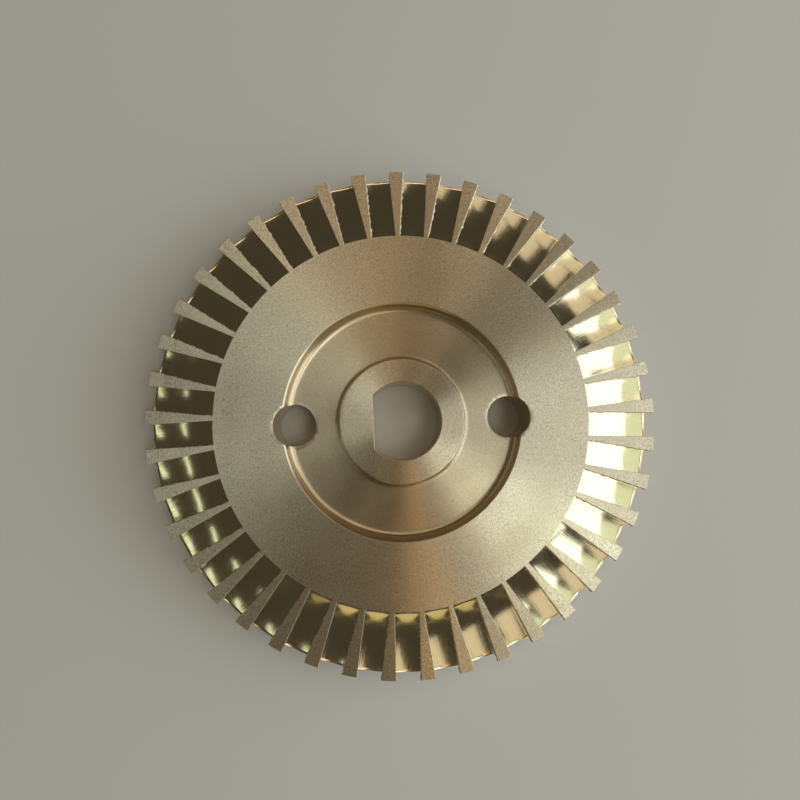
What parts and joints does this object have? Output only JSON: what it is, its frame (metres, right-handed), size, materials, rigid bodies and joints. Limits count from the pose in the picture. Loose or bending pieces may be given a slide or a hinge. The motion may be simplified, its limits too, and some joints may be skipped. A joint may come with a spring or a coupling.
{
  "type": "peripheral pump impeller",
  "caption": "Thin brass disc-shaped impeller with a D-bored hub, turned pockets, two through holes and a ring of short radial vanes on both sides of a thin web.",
  "frame": {"origin": "on the shaft axis, in the middle plane between the two sealing faces", "axes": "+Z along the shaft; the two through holes lie on the X axis and the D-bore's flat is on the -X side"},
  "size_m": [0.0764, 0.0764, 0.0088],
  "materials": {
    "hub": "turned, coarse circular tool marks",
    "disc": "fine satin on the sealing faces, smooth turned pockets",
    "web": "milled bright, fine radial tool marks",
    "vane": "fine satin faces, milled sides with thin burrs on the edges"
  },
  "bodies": {
    "root": {"hub": "hub", "disc": "disc", "web_ring": "web", "vane_01": "vane", "vane_02": "vane", "vane_03": "vane", "vane_04": "vane", "vane_05": "vane", "vane_06": "vane", "vane_07": "vane", "vane_08": "vane", "vane_09": "vane", "vane_10": "vane", "vane_11": "vane", "vane_12": "vane", "vane_13": "vane", "vane_14": "vane", "vane_15": "vane", "vane_16": "vane", "vane_17": "vane", "vane_18": "vane", "vane_19": "vane", "vane_20": "vane", "vane_21": "vane", "vane_22": "vane", "vane_23": "vane", "vane_24": "vane", "vane_25": "vane", "vane_26": "vane", "vane_27": "vane", "vane_28": "vane", "vane_29": "vane", "vane_30": "vane", "vane_31": "vane", "vane_32": "vane", "vane_33": "vane", "vane_34": "vane", "vane_35": "vane", "vane_36": "vane", "vane_37": "vane", "vane_38": "vane", "vane_39": "vane", "vane_40": "vane", "vane_41": "vane"}
  },
  "joints": []
}
